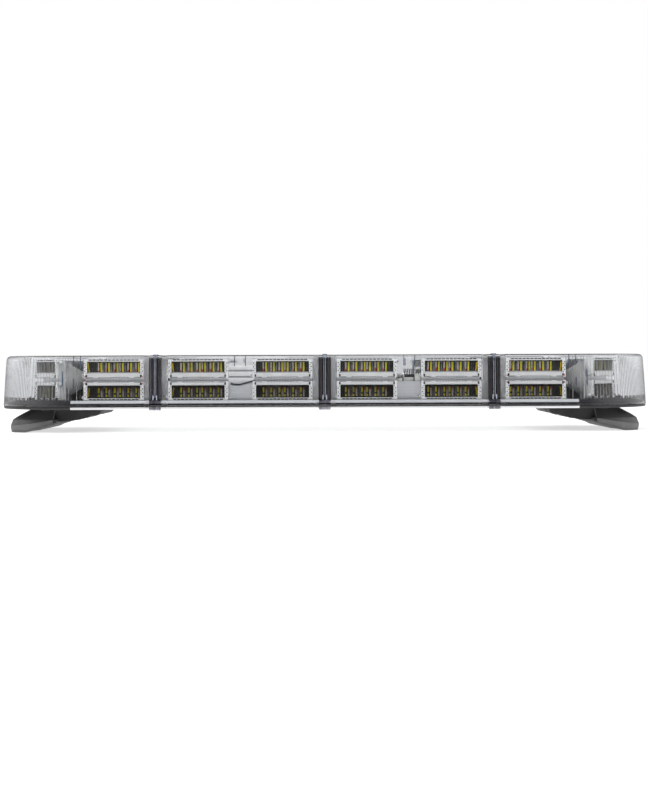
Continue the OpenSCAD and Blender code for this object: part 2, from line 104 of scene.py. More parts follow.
class Tree:
    """Short ways to add nodes to the node tree of a world or a material."""

    def __init__(self, owner, space):
        owner.use_nodes = True
        self.tree = owner.node_tree
        self.coord = self.add("ShaderNodeTexCoord").outputs[space]

    def add(self, kind, **values):
        node = self.tree.nodes.new(kind)
        for key, value in values.items():
            setattr(node, key, value)
        return node

    def link(self, a, b):
        self.tree.links.new(a, b)

    def put(self, socket, value):
        if isinstance(value, bpy.types.NodeSocket):
            self.link(value, socket)
        else:
            socket.default_value = value

    def axis(self, which):
        n = self.add("ShaderNodeSeparateXYZ")
        self.link(self.coord, n.inputs[0])
        return n.outputs[which]

    def math(self, op, a, b=None):
        n = self.add("ShaderNodeMath", operation=op)
        self.put(n.inputs[0], a)
        if b is not None:
            self.put(n.inputs[1], b)
        return n.outputs[0]

    def remap(self, value, a, b, lo=0.35, hi=0.65):
        """a where the value is lo or less, b where it is hi or more."""
        n = self.add("ShaderNodeMapRange")
        self.link(value, n.inputs["Value"])
        for key, v in (("From Min", lo), ("From Max", hi), ("To Min", a), ("To Max", b)):
            n.inputs[key].default_value = v
        return n.outputs["Result"]


class Finish(Tree):
    """A new material and the nodes that paint it."""

    def __init__(self, name):
        self.mat = bpy.data.materials.new(name)
        super().__init__(self.mat, "Object")
        self.bsdf = self.tree.nodes["Principled BSDF"]

    def noise(self, scale, detail=3.0, stretch=(1, 1, 1), seed=0.0):
        mapping = self.add("ShaderNodeMapping")
        self.link(self.coord, mapping.inputs["Vector"])
        mapping.inputs["Scale"].default_value = stretch
        mapping.inputs["Location"].default_value = (seed, seed * 1.7, seed * 0.6)
        n = self.add("ShaderNodeTexNoise")
        self.link(mapping.outputs["Vector"], n.inputs["Vector"])
        n.inputs["Scale"].default_value = scale
        n.inputs["Detail"].default_value = detail
        return n.outputs["Fac"]

    def mix(self, fac, a, b):
        n = self.add("ShaderNodeMix", data_type="RGBA")
        self.put(n.inputs["Factor"], fac)
        self.put(n.inputs[6], a)
        self.put(n.inputs[7], b)
        return n.outputs[2]

    def tiers(self, lower, upper):
        """One colour on the light heads' lower tier and another on the upper."""
        height = self.remap(self.axis(2), 0, 1, TIER_Z - TIER_BLEND, TIER_Z + TIER_BLEND)
        return self.mix(height, lower, upper)

    def bump(self, height, strength, distance=0.0002):
        n = self.add("ShaderNodeBump")
        n.inputs["Strength"].default_value = strength
        n.inputs["Distance"].default_value = distance
        self.link(height, n.inputs["Height"])
        self.link(n.outputs["Normal"], self.bsdf.inputs["Normal"])

    def set(self, **sockets):
        for key, value in sockets.items():
            self.put(self.bsdf.inputs[key.replace("_", " ")], value)


def rgba(c):
    return (c[0], c[1], c[2], 1.0)


def shade(c, k):
    return (min(c[0] * k, 1), min(c[1] * k, 1), min(c[2] * k, 1), 1.0)


# ---------------------------------------------------------------- light, floor

# Strength of the room for everything that the camera doesn't see directly
AMBIENT, FRONT_DIM = 0.74, 0.15
# Strength of the room in mirror reflections: ahead and behind, at the sides, and overhead
GLOSS_LOW, GLOSS_HIGH, GLOSS_ABOVE = 0.12, 0.9, 0.9

AIM = (0, 0, 0.08)
# Name, place, size and power of each soft light; all of them face AIM
LIGHTS = (
    ("key", (-1.1, -1.9, 2.2), (1.8, 1.0), 52),
    ("fill", (1.6, -1.6, 1.2), (1.2, 1.2), 16),
    ("back", (0, 2.0, 1.8), (2.4, 0.8), 21),
)
FLOOR_REACH, FLOOR_Z = 20, -0.0002


def make_world():
    """A white room. Reflections see it dim straight ahead and behind, as between two soft boxes."""
    world = bpy.data.worlds.new("studio")
    scene.world = world
    t = Tree(world, "Generated")
    depth, height = t.axis(1), t.axis(2)
    path = t.add("ShaderNodeLightPath").outputs
    across = t.remap(t.math("ABSOLUTE", depth), GLOSS_HIGH, GLOSS_LOW, 0.45, 0.9)
    above = t.remap(height, 0.0, GLOSS_ABOVE, 0.3, 0.6)
    mirrored = t.math("MULTIPLY", path["Is Glossy Ray"], t.math("SUBTRACT", 1.0, path["Is Transmission Ray"]))
    ahead = t.remap(depth, FRONT_DIM, AMBIENT, -0.97, -0.7)
    plain = t.math("MAXIMUM", ahead, t.remap(height, 0.0, AMBIENT, 0.25, 0.5))
    gloss = t.math("SUBTRACT", t.math("MAXIMUM", across, above), plain)
    room = t.math("ADD", plain, t.math("MULTIPLY", mirrored, gloss))
    seen = path["Is Camera Ray"]
    total = t.math("ADD", seen, t.math("MULTIPLY", t.math("SUBTRACT", 1.0, seen), room))
    back = t.tree.nodes["Background"]
    t.link(total, back.inputs["Strength"])
    back.inputs["Color"].default_value = (1, 1, 1, 1)


def area_light(name, at, size, power):
    """A soft light that reflections and the clear lenses don't show."""
    data = bpy.data.lights.new(name, "AREA")
    data.shape = "RECTANGLE"
    data.size, data.size_y = size
    data.energy = power
    ob = bpy.data.objects.new(name, data)
    ob.visible_glossy = False
    ob.visible_transmission = False
    scene.collection.objects.link(ob)
    ob.location = at
    ob.rotation_euler = (Vector(AIM) - Vector(at)).to_track_quat("-Z", "Y").to_euler()


def make_floor():
    bm = bmesh.new()
    bmesh.ops.create_grid(bm, x_segments=8, y_segments=8, size=FLOOR_REACH)
    mesh = bpy.data.meshes.new("floor")
    bm.to_mesh(mesh)
    bm.free()
    floor = bpy.data.objects.new("floor", mesh)
    scene.collection.objects.link(floor)
    floor.location = (0, 0, FLOOR_Z)
    paper = surface("floor", (0.55, 0.55, 0.55), 0.9, vary=0.01, grain=3, bump=0)
    glow = paper.node_tree.nodes["Principled BSDF"].inputs
    glow["Emission Color"].default_value = (1, 1, 1, 1)
    glow["Emission Strength"].default_value = 0.6
    floor.data.materials.append(paper)


# ---------------------------------------------------------------- materials


def surface(name, colour, rough, metal=0.0, vary=0.08, grain=60, bump=0.15, bump_scale=900, coat=0.0,
            dust=0.0):
    """A solid surface: mottled colour, uneven gloss and fine relief, with an optional veil of dust."""
    t = Finish(name)
    broad = t.noise(grain, 4, seed=0.3)
    base = t.mix(t.remap(broad, 0, 1, 0.3, 0.7), shade(colour, 1 - vary), shade(colour, 1 + vary))
    if dust:
        base = dusty(t, base, dust)
    t.link(base, t.bsdf.inputs["Base Color"])
    patch = t.noise(grain * 0.6, 5, seed=2.3)
    t.link(t.remap(patch, max(rough - 0.06, 0.02), rough + 0.06), t.bsdf.inputs["Roughness"])
    if bump:
        t.bump(t.noise(bump_scale, 2, seed=1.1), bump)
    t.set(Metallic=metal)
    if coat:
        t.set(Coat_Weight=coat, Coat_Roughness=0.08)
    return t.mat


def dusty(t, base, dust):
    veil = t.math("MULTIPLY", t.remap(t.noise(14, 5, seed=4.0), 0, 1, 0.45, 0.75), dust)
    return t.mix(veil, base, rgba((0.5, 0.48, 0.45)))


def lens_plastic(name, tint):
    """Clear moulded plastic with a faint flow pattern, frosted in two bands beside each lens joint."""
    t = Finish(name)
    t.set(Transmission_Weight=1.0, IOR=1.49, Specular_IOR_Level=0.4)
    flow = t.noise(18, 2, (0.35, 1, 1), 0.9)
    t.link(t.mix(t.remap(flow, 0, 1), rgba(tint), shade(tint, 0.975)), t.bsdf.inputs["Base Color"])
    haze = t.remap(t.noise(60, 4, seed=3.0), 0.0, 0.012)
    beside = t.math("PINGPONG", t.axis(0), LENS_LENGTH / 2)
    outside = t.remap(beside, 1, 0, 0.0204, 0.0208)
    inside = t.remap(beside, 0, 1, 0.0108, 0.0113)
    joints = t.remap(t.math("ABSOLUTE", t.axis(0)), 1, 0, 0.40, 0.41)
    frost = t.math("MULTIPLY", t.math("MULTIPLY", outside, inside), joints)
    t.link(t.math("ADD", haze, t.math("MULTIPLY", frost, 0.36)), t.bsdf.inputs["Roughness"])
    t.bump(flow, 0.003, 0.0015)
    return t.mat


def optic_plastic(name, upper, lower):
    """A light head's clear cover, which hardly bends light, darker on the lower tier."""
    t = Finish(name)
    t.set(Transmission_Weight=1.0, IOR=1.06, Specular_IOR_Level=0.0)
    flow = t.noise(120, 2, (0.35, 1, 1), 0.9)
    light = t.mix(t.remap(flow, 0, 1), rgba(upper), shade(upper, 0.975))
    smoky = t.mix(t.remap(flow, 0, 1), rgba(lower), shade(lower, 0.9))
    t.link(t.tiers(smoky, light), t.bsdf.inputs["Base Color"])
    t.link(t.remap(t.noise(60, 4, seed=3.0), 0.0, 0.012), t.bsdf.inputs["Roughness"])
    t.bump(flow, 0.1, 0.0015)
    return t.mat


def clip_plastic(name):
    """Clear plastic at the top of a joint, smoky at the latch below."""
    t = Finish(name)
    t.set(Transmission_Weight=1.0, IOR=1.49)
    low = t.remap(t.axis(2), 0, 1, 0.08, 0.11)
    streak = t.noise(1.0, 3, (300, 60, 30), 1.0)
    smoke = t.mix(t.remap(streak, 0, 1), rgba((0.26, 0.25, 0.28)), rgba((0.56, 0.55, 0.60)))
    t.link(t.mix(low, smoke, rgba((0.80, 0.84, 0.93))), t.bsdf.inputs["Base Color"])
    t.link(t.remap(t.noise(60, 4), 0.02, 0.08), t.bsdf.inputs["Roughness"])
    t.bump(streak, 0.1, 0.0003)
    return t.mat


def smoked(name):
    """Smoked plastic with painted sheen: soft pale streaks that run down the bulkhead. Darkest along its
    middle.
    """
    t = Finish(name)
    # Painted sheen: the fine streaks and the soft paler patches stand in for light running down the bulkhead.
    streak = t.noise(1.0, 4, (520, 8, 2.5), 0.7)
    soft = t.noise(1.0, 2, (190, 4, 1), 5.0)
    base = t.mix(t.remap(streak, 0, 1, 0.36, 0.66), rgba((0.005, 0.004, 0.005)), rgba((0.050, 0.043, 0.046)))
    base = t.mix(t.remap(soft, 0, 0.7, 0.55, 0.68), base, rgba((0.20, 0.185, 0.20)))
    off = t.math("PINGPONG", t.axis(0), LENS_LENGTH / 2 + 0.0003)
    base = t.mix(t.remap(off, 1, 0, 0.0040, 0.0052), base, rgba((0.004, 0.0035, 0.004)))
    t.link(base, t.bsdf.inputs["Base Color"])
    t.link(t.remap(soft, 0.14, 0.32), t.bsdf.inputs["Roughness"])
    t.bump(streak, 0.25, 0.0003)
    t.set(Coat_Weight=0.3, Coat_Roughness=0.06)
    return t.mat


def foot_casting(name):
    """Rough cast foot: grey on the outer arms, near-black further in as painted shade under the bar, with a
    little dust.
    """
    t = Finish(name)
    cast = t.remap(t.noise(45, 4, seed=0.3), 0, 1, 0.3, 0.7)
    # Painted shade: the inner part of the casting, under the bar, is painted near-black; the outer arms keep
    # the casting's grey.
    outer = t.remap(t.math("ABSOLUTE", t.axis(0)), 0, 1, 0.4990, 0.5000)
    dark = t.mix(cast, rgba((0.010, 0.010, 0.011)), rgba((0.016, 0.016, 0.017)))
    light = t.mix(cast, rgba((0.108, 0.108, 0.111)), rgba((0.142, 0.142, 0.145)))
    t.link(dusty(t, t.mix(outer, dark, light), 0.03), t.bsdf.inputs["Base Color"])
    t.link(t.remap(t.noise(27, 5, seed=2.3), 0.48, 0.62), t.bsdf.inputs["Roughness"])
    t.bump(t.noise(700, 2, seed=1.1), 0.5)
    return t.mat


def trough_chrome(name):
    """Dark bright-work of the reflectors: smoky in the upper tier, nearly black in the lower."""
    t = Finish(name)
    cloud = t.remap(t.noise(90, 4, seed=0.3), 0, 1, 0.3, 0.7)
    upper = t.mix(cloud, rgba((0.13, 0.133, 0.137)), rgba((0.22, 0.225, 0.23)))
    lower = t.mix(cloud, rgba((0.035, 0.036, 0.037)), rgba((0.075, 0.077, 0.08)))
    t.link(t.tiers(lower, upper), t.bsdf.inputs["Base Color"])
    t.link(t.remap(t.noise(54, 5, seed=2.3), 0.14, 0.26), t.bsdf.inputs["Roughness"])
    t.bump(t.noise(900, 2, seed=1.1), 0.1)
    t.set(Metallic=1.0)
    return t.mat


def emitter(name, colour, tip=None, broken=False):
    """Phosphor strip with a faint painted glow: darker ends, and a tip of another colour or a dark break in
    the lower tier.
    """
    t = Finish(name)
    dark = rgba((0.03, 0.03, 0.02))
    z = t.axis(2)
    away = t.math("ABSOLUTE", t.math("SUBTRACT", z, TIER_Z))
    base = t.mix(t.remap(t.noise(700, 3, (1, 1, 0.2), 0.2), 0, 1), shade(colour, 0.7), shade(colour, 1.15))
    if tip:
        uneven = t.remap(t.noise(160, 2, seed=7.0), -0.003, 0.003)
        base = t.mix(t.remap(t.math("ADD", away, uneven), 1, 0, 0.0165, 0.0195), base, rgba(tip))
    if broken:
        from_below = t.remap(z, 0, 1, TIER_Z - 0.0272, TIER_Z - 0.0266)
        from_above = t.remap(z, 1, 0, TIER_Z - 0.0240, TIER_Z - 0.0234)
        base = t.mix(t.math("MULTIPLY", from_below, from_above), base, dark)
    base = t.mix(t.remap(away, 0.35, 1, 0.0135, 0.016), dark, base)
    t.link(base, t.bsdf.inputs["Base Color"])
    # Painted light: the strip's colour also glows faintly, though the emitters are not lit.
    t.link(base, t.bsdf.inputs["Emission Color"])
    t.set(Emission_Strength=0.28, Roughness=0.3)
    t.bump(t.noise(1500, 2), 0.2)
    return t.mat


def board(name):
    """Near-black solder mask with faint tracks."""
    t = Finish(name)
    tracks = t.noise(1.0, 3, (260, 260, 24), 2.0)
    base = t.mix(t.remap(tracks, 0, 1, 0.52, 0.56), rgba((0.008, 0.010, 0.008)), rgba((0.05, 0.06, 0.05)))
    t.link(base, t.bsdf.inputs["Base Color"])
    t.link(t.remap(t.noise(90, 3), 0.18, 0.4), t.bsdf.inputs["Roughness"])
    t.bump(tracks, 0.3)
    return t.mat


def extruded(name, colour, rough, lengthwise=(1.5, 240, 240)):
    """Mill-finish aluminium with draw lines along its length and a few smudges."""
    t = Finish(name)
    lines = t.noise(1.0, 3, lengthwise, 1.0)
    fine = t.noise(1.0, 2, tuple(k * 5 for k in lengthwise), 3.0)
    base = t.mix(t.remap(lines, 0, 1), shade(colour, 0.9), shade(colour, 1.05))
    smudge = t.remap(t.noise(9, 5), 0, 0.25, 0.5, 0.8)
    t.link(t.mix(smudge, base, shade(colour, 0.72)), t.bsdf.inputs["Base Color"])
    dull = t.math("MULTIPLY", smudge, 0.3)
    t.link(t.math("ADD", t.remap(lines, rough - 0.06, rough + 0.08), dull), t.bsdf.inputs["Roughness"])
    t.bump(fine, 0.15, 0.0001)
    t.set(Metallic=0.85)
    return t.mat


# ---------------------------------------------------------------- finishes of the CAD nodes


def assign(mat, *names):
    for n in names:
        ob = NODES[n]
        ob.data.materials.clear()
        ob.data.materials.append(mat)


def finish_clear_nodes(lens):
    assign(lens, *named("dome_end_", "dome_mid_"))
    assign(clip_plastic("clip_plastic"), "dome_clips")
    front_optic = optic_plastic("optic_clear", upper=(0.90, 0.92, 0.91), lower=(0.50, 0.51, 0.50))
    assign(front_optic, "optics_front", "optics_rear")
    corner_optic = optic_plastic("optic_corner", upper=(0.56, 0.57, 0.56), lower=(0.38, 0.39, 0.38))
    assign(corner_optic, "optics_corner")
    assign(smoked("bulkhead_smoked"), *named("bulkhead_"))
    for n in named("dome_end_", "dome_mid_", "dome_clips", "optics_"):
        NODES[n].visible_shadow = False


def finish_metal_nodes():
    assign(extruded("mill_aluminium", (0.86, 0.87, 0.88), 0.32), "base_extrusion")
    assign(extruded("rail_aluminium", (0.72, 0.73, 0.74), 0.34), "rail_front", "rail_rear")
    sheet = extruded("sheet_aluminium", (0.70, 0.71, 0.72), 0.38, (90, 90, 3))
    assign(sheet, *named("corner_bracket_", "heat_sinks"))
    zinc = surface("zinc_steel", (0.62, 0.62, 0.60), 0.3, metal=1.0, grain=300, vary=0.12)
    assign(zinc, "tray_screws", "head_screws", *named("foot_bolts_"))


def finish_housing_nodes():
    tray = surface("tray_black", (0.014, 0.014, 0.016), 0.46, grain=30, vary=0.25, bump=0.3, bump_scale=1400)
    assign(tray, *named("end_tray_"))
    rubber = surface("gasket_rubber", (0.004, 0.004, 0.005), 0.62, grain=80, vary=0.3, bump=0.3)
    assign(rubber, "dome_gasket")
    assign(surface("pod_grey", (0.34, 0.34, 0.33), 0.5, grain=25, vary=0.1, bump=0.2), "pod_covers")
    white = surface("frame_white", (0.80, 0.80, 0.79), 0.3, grain=50, vary=0.1, bump=0.12, coat=0.3)
    assign(white, *named("light_frame_"))
    driver = surface("driver_white", (0.70, 0.70, 0.69), 0.4, grain=40, vary=0.06, bump=0.4, bump_scale=500)
    assign(driver, "driver_housing")
    fitting = surface("fitting_black", (0.025, 0.025, 0.026), 0.5, grain=90, vary=0.25)
    assign(fitting, "cable_gland", "gland_nut", "breather_vents")


def finish_electric_nodes():
    assign(board("board_black"), *named("led_boards_"))
    assign(emitter("emitter_amber", (0.70, 0.60, 0.02), broken=True), "amber_emitters")
    assign(emitter("emitter_pale", (0.50, 0.42, 0.38), tip=(0.35, 0.05, 0.05)), "pale_emitters")
    mask = surface("pcb_green", (0.015, 0.09, 0.045), 0.35, grain=140, vary=0.3, bump=0.3, coat=0.3)
    assign(mask, "control_board")
    chips = surface("component_black", (0.03, 0.03, 0.035), 0.35, grain=200, vary=0.25)
    assign(chips, "control_components")
    assign(surface("wire_black", (0.018, 0.018, 0.018), 0.45, grain=120, vary=0.3), "wiring_harness")
    assign(surface("plug_white", (0.65, 0.64, 0.58), 0.5, grain=120, vary=0.07), "harness_plugs")


def finish_foot_nodes():
    assign(foot_casting("foot_casting"), *named("foot_bracket_"))
    cover = surface("foot_cover_grey", (0.070, 0.070, 0.072), 0.36, grain=22, vary=0.15, bump=0.3,
                    bump_scale=1300, dust=0.04)
    assign(cover, *named("foot_cover_"))
    rubber = surface("foot_rubber", (0.11, 0.11, 0.113), 0.6, grain=60, vary=0.12, bump=0.5, bump_scale=600)
    assign(rubber, *named("foot_pad_"))


def make_piece_finishes(lens):
    """The finishes of the pieces that are made here, by what they are on."""
    return {
        "lens": lens,
        # Pale beads and prongs at the lens joints: painted highlights.
        "bead": surface("pale_bead_highlight", (0.30, 0.32, 0.39), 0.18, grain=200, vary=0.2, coat=0.3),
        # Blue-grey rib lines: painted reflection on the clear ribs.
        "rib": surface("rib_reflection_blue", (0.05, 0.075, 0.15), 0.2, grain=300, vary=0.4, coat=0.3),
        # Paler strips on the feet's cover edges: painted highlights.
        "foot_edge": surface("edge_highlight_grey", (0.20, 0.20, 0.205), 0.4, grain=120, vary=0.15),
        "bar": surface("bar_white", (0.68, 0.68, 0.672), 0.25, grain=60, vary=0.05, bump=0.1, coat=0.4),
        "reflector": trough_chrome("dark_chrome"),
        "cell": surface("cell_black", (0.003, 0.003, 0.003), 0.4, grain=150, vary=0.3),
        # The driver's ribs: the housing's white painted brighter, a painted highlight.
        "driver_rib": surface("driver_rib", (0.95, 0.95, 0.95), 0.3, grain=60, vary=0.05, bump=0.1, coat=0.4),
        # Grey of the lips; on the sill below each bar it is painted shade.
        "lip": surface("lip_grey", (0.30, 0.30, 0.295), 0.35, grain=80, vary=0.15, bump=0.1),
        "cell_edge": surface("edge_pale", (0.34, 0.34, 0.32), 0.3, grain=120, vary=0.35, bump=0.1),
        "rivet": surface("rivet_dark", (0.04, 0.04, 0.04), 0.35, grain=300, vary=0.3),
        "end_board": surface("end_board", (0.055, 0.056, 0.046), 0.4, grain=260, vary=0.5, bump=0.3),
        "head_lead": surface("red_wire", (0.36, 0.02, 0.03), 0.4, grain=300, vary=0.15),
        # The glints are painted reflections of the end emitters, and they glow.
        "glint": emitter("amber_glint", (0.66, 0.54, 0.02)),
        "lead": surface("black_lead", (0.015, 0.015, 0.017), 0.35, grain=200, vary=0.3),
        "plug": surface("plug_ivory", (0.66, 0.66, 0.63), 0.4, grain=160, vary=0.08),
        "tooth": surface("tooth_black", (0.012, 0.012, 0.013), 0.45, grain=90, vary=0.3, bump=0.2),
        "shield": surface("shield_black", (0.010, 0.010, 0.011), 0.5, grain=60, vary=0.3, bump=0.2),
    }


# ---------------------------------------------------------------- mesh helpers


class Shape:
    """Collects the geometry of one piece; m places what a call adds."""

    def __init__(self, name):
        self.name = name
        self.bm = bmesh.new()

    def block(self, lo, hi, m=Matrix.Identity(4), bevel=0.0):
        lo, hi = Vector(lo), Vector(hi)
        made = bmesh.ops.create_cube(self.bm, size=1.0)["verts"]
        bmesh.ops.scale(self.bm, vec=hi - lo, verts=made)
        bmesh.ops.translate(self.bm, vec=(lo + hi) / 2, verts=made)
        if bevel:
            edges = list({e for v in made for e in v.link_edges})
            out = bmesh.ops.bevel(self.bm, geom=edges, offset=bevel, segments=2, affect="EDGES", profile=0.6)
            made = list({v for f in out["faces"] for v in f.verts} | {v for v in made if v.is_valid})
        bmesh.ops.transform(self.bm, matrix=m, verts=made)

    def strip(self, x, half, y, z, m, bevel=0.0):
        """A block in mm, as wide as half on each side of x; y and z are its ranges."""
        self.block(mm(x - half, y[0], z[0]), mm(x + half, y[1], z[1]), m, bevel / 1000)

    def disc(self, at, axis, r, h, sides, m=Matrix.Identity(4)):
        """A round disc that stands h out of at."""
        made = bmesh.ops.create_cone(self.bm, cap_ends=True, segments=sides, radius1=r, radius2=r, depth=h)
        turn = Vector((0, 0, 1)).rotation_difference(Vector(axis)).to_matrix().to_4x4()
        place = m @ Matrix.Translation(at) @ turn @ Matrix.Translation((0, 0, h / 2))
        bmesh.ops.transform(self.bm, matrix=place, verts=made["verts"])

    def sheet(self, rows, m, thick):
        """A skin over rows of points, with a back face at thick behind it."""
        grid = [[self.bm.verts.new(m @ Vector(p)) for p in row] for row in rows]
        faces = []
        for a, b in zip(grid, grid[1:]):
            for k in range(len(a) - 1):
                faces.append(self.bm.faces.new((a[k], b[k], b[k + 1], a[k + 1])))
        bmesh.ops.solidify(self.bm, geom=faces, thickness=thick)

    def tube(self, points, r, sides=8, m=Matrix.Identity(4)):
        """A closed round tube along points, with no twist between its rings."""
        rings = []
        pts = [Vector(p) for p in points]
        for k, p in enumerate(pts):
            d = (pts[min(k + 1, len(pts) - 1)] - pts[max(k - 1, 0)]).normalized()
            side = d.orthogonal() if k == 0 else (last - d * last.dot(d))
            last = side.normalized()
            up = d.cross(last)
            rings.append([
                self.bm.verts.new(m @ (p + (last * math.cos(a) + up * math.sin(a)) * r))
                for a in (2 * math.pi * j / sides for j in range(sides))])
        for a, b in zip(rings, rings[1:]):
            self.belt(a, b)
        self.bm.faces.new(rings[0][::-1])
        self.bm.faces.new(rings[-1])

    def plate(self, front, back):
        """A flat plate between two outlines with the same number of points."""
        front, back = ([self.bm.verts.new(p) for p in outline] for outline in (front, back))
        self.bm.faces.new(front)
        self.bm.faces.new(back[::-1])
        self.belt(front, back)

    def belt(self, a, b):
        """Faces all the way round between two closed rings."""
        for k in range(len(a)):
            j = (k + 1) % len(a)
            self.bm.faces.new((a[k], a[j], b[j], b[k]))

    def done(self, mat, slot, body="bar", smooth=35, shadow=True):
        bmesh.ops.recalc_face_normals(self.bm, faces=self.bm.faces)
        mesh = bpy.data.meshes.new(self.name)
        self.bm.to_mesh(mesh)
        self.bm.free()
        ob = bpy.data.objects.new(self.name, mesh)
        scene.collection.objects.link(ob)
        mesh.materials.append(mat)
        if smooth:
            mesh.shade_smooth()
            mesh.set_sharp_from_angle(angle=math.radians(smooth))
        ob.visible_shadow = shadow
        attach(ob, body)
        return ob


def spread(count, pitch):
    """Places of count things in a row, a pitch apart, about 0."""
    return [(k - (count - 1) / 2) * pitch for k in range(count)]


# ---------------------------------------------------------------- light heads
# Inside a head lengths are in mm: x across it, y into it from its face, z up from the gap between the tiers.

TIER_GAP = 0.006
# Middles of the pairs of emitters
FRONT_PAIRS = (-33.9, -19.9, -4.8, 4.8, 19.9, 33.9)
CORNER_PAIRS = (-17.4, -5.8, 5.8, 17.4)
# Half the width of a pair, and how far the emitters turn in for each mm from the bar's middle
PAIR_HALF = 4.3
TOE_IN = -0.02
# The frame's rim beside each window, and what the CAD frame's box adds to the width of a head
WINDOW_RIM = 6
FRONT_EXTRA, CORNER_EXTRA = 8.4, 18.2
CORNER_TURNS = (45, -45, 135, -135)

UPPER, LOWER = 1, -1
BOTH = (UPPER, LOWER)
# Strips across the window: piece, reach past the window's edges, y range, z range, bevel, tiers
STRIPS = (
    ("head_bars", -0.6, (-1.3, 0.3), (2.0, 6.7), 0.6, BOTH),  # the white bar
    # The grey sill is painted shade: the white frame painted darker in the gap between the tiers.
    ("head_lips", 2.0, (-0.2, 0.3), (0.1, 1.9), 0.1, BOTH),  # grey sill between the bar and the gap
    ("head_bars", 0.0, (-0.6, 0.4), (29.9, 30.8), 0.2, BOTH),  # lip on the window's far side
    ("head_bars", -1.0, (-0.4, 0.4), (7.2, 9.2), 0.2, (UPPER,)),  # white lip beside the bar
    ("head_lips", -1.0, (-0.2, 0.4), (9.2, 11.0), 0.2, (UPPER,)),  # grey step inside that lip
    ("head_bar_ends", -1.0, (-0.4, 0.4), (7.2, 8.3), 0.2, (LOWER,)),  # dark lip beside the bar
)
# Height of the dark slots beyond the window on each tier
SLOT_Z = {UPPER: 32.1, LOWER: 31.5}
SLOT_PITCH, COMB_PITCH, COVER_RIB_PITCH, BOARD_PIN_PITCH = 7, 5, 3.1, 3.4
RIVET_Z = (9.5, 13, 16.5, 20, 23.5, 27)
# Heads that toe in by more than this get a painted reflection of their last emitter, in the reflector's end
GLINT_TOE = 4


class Head:
    """Where a light head is, how wide it is, and where its emitters sit."""

    def __init__(self, m, width, pairs, toe=0.0, outer=False, side=0):
        self.m, self.width, self.pairs, self.toe, self.outer, self.side = m, width, pairs, toe, outer, side
        self.window = width / 2 - WINDOW_RIM

    def tiers(self):
        """A matrix for the upper tier, and one for the lower, which is upside down."""
        up = self.m @ Matrix.Translation((0, 0, TIER_Z + TIER_GAP / 2))
        down = self.m @ Matrix.Translation((0, 0, TIER_Z - TIER_GAP / 2)) @ Matrix.Rotation(math.pi, 4, "Y")
        return ((up, UPPER), (down, LOWER))


def find_row_heads(row, facing):
    """The heads of the front row (facing 1) or of the rear row (facing -1)."""
    out = []
    face = 0.0008
    turn = Matrix.Rotation(0 if facing > 0 else math.pi, 4, "Z")
    names = sorted(named("light_frame_" + row))
    for n in names:
        lo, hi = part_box(n)
        x = middle(n, 0)
        y = lo[1] + face if facing > 0 else hi[1] - face
        local = facing * x
        place = Matrix.Translation((x, y, 0)) @ turn
        outer = n in (names[0], names[-1])
        out.append(Head(place, length(n, 0) * 1000 - FRONT_EXTRA, FRONT_PAIRS, TOE_IN * local * 1000,
                        outer, -1 if local < 0 else 1))
    return out


def find_corner_heads():
    out = []
    for n, angle in zip(sorted(named("light_frame_corner_")), CORNER_TURNS):
        turn = Matrix.Rotation(math.radians(angle), 4, "Z")
        face = Vector((middle(n, 0), middle(n, 1), 0)) - turn @ Vector((0, 0.0069, 0))
        width = length(n, 0) * math.sqrt(2) * 1000 - CORNER_EXTRA
        out.append(Head(Matrix.Translation(face) @ turn, width, CORNER_PAIRS))
    return out


def trough(w):
    """Rows of a reflector: flat behind the emitters, curling forwards above and below."""
    back_y, reach_y = 11.9, 9.6
    low_z, rise_z = 8.3, 2.6
    middle_z = 19.5
    steps = 8
    low = []
    for k in range(steps + 1):
        a = math.pi / 2 * k / steps
        low.append((back_y - reach_y * (1 - math.sin(a)), low_z + rise_z * (1 - math.cos(a))))
    high = [(y, 2 * middle_z - z) for y, z in reversed(low)]
    return [[mm(x, y, z) for y, z in low + high] for x in (-w, w)]


def add_bars(shapes, head, m, tier):
    """The white bar with its dark ends and oval tabs, and the lips and sills along the window."""
    w = head.window
    for name, reach, y, z, bevel, tiers in STRIPS:
        if tier in tiers:
            shapes[name].strip(0, w + reach, y, z, m, bevel)
    for s in (-1, 1):
        shapes["head_bar_ends"].strip(s * (w + 1), 1.3, (-0.9, 0.2), (2.1, 6.5), m, 0.3)
        shapes["head_bars"].strip(s * head.width * 0.3, 4.8, (-1.7, 0.2), (0.3, 2.7), m, 0.9)


def add_slots(shapes, head, m, tier):
    """Short dark slots beyond the window, and the comb below the bar."""
    z = SLOT_Z[tier]
    for x in spread(int(head.window * 2 / SLOT_PITCH), SLOT_PITCH):
        shapes["head_bar_ends"].strip(x, 2.8, (-0.2, 0.3), (z, z + 1.7), m)
    for x in spread(int(head.width * 0.5 / COMB_PITCH), COMB_PITCH):
        shapes["head_combs"].strip(x, 1.1, (-0.5, 0.3), (0.3, 1.7), m, 0.2)


def add_cells(shapes, head, m, tier):
    """The walls between the pairs of emitters and the pale edges on them."""
    cells, edges = shapes["head_cell_walls"], shapes["head_wall_edges"]
    wall_z, edge_z = (9.6, 29.4), (9.9, 29.1)
    for a, b in zip(head.pairs, head.pairs[1:]):
        x = (a + b) / 2 + head.toe * tier
        wide = (b - a) / 2 - PAIR_HALF
        if wide > 1:
            cells.strip(x, wide, (10.4, 11.7), wall_z, m)
            cells.strip(x, 0.6, (7.6, 10.5), wall_z, m, 0.2)
            for s in (-1, 1):
                edges.strip(x + s * (wide - 0.5), 0.45, (10.0, 10.5), edge_z, m)
        else:
            cells.strip(x, 0.4, (8.6, 11.6), wall_z, m)
        edges.strip(x, 0.45, (7.3, 7.7), edge_z, m)
    if head.pairs is CORNER_PAIRS:
        # fine upright ribs on the corner cover
        for x in spread(int(head.window * 2 / COVER_RIB_PITCH), COVER_RIB_PITCH):
            edges.strip(x, 0.3, (1.2, 1.7), (9.4, 29.6), m)


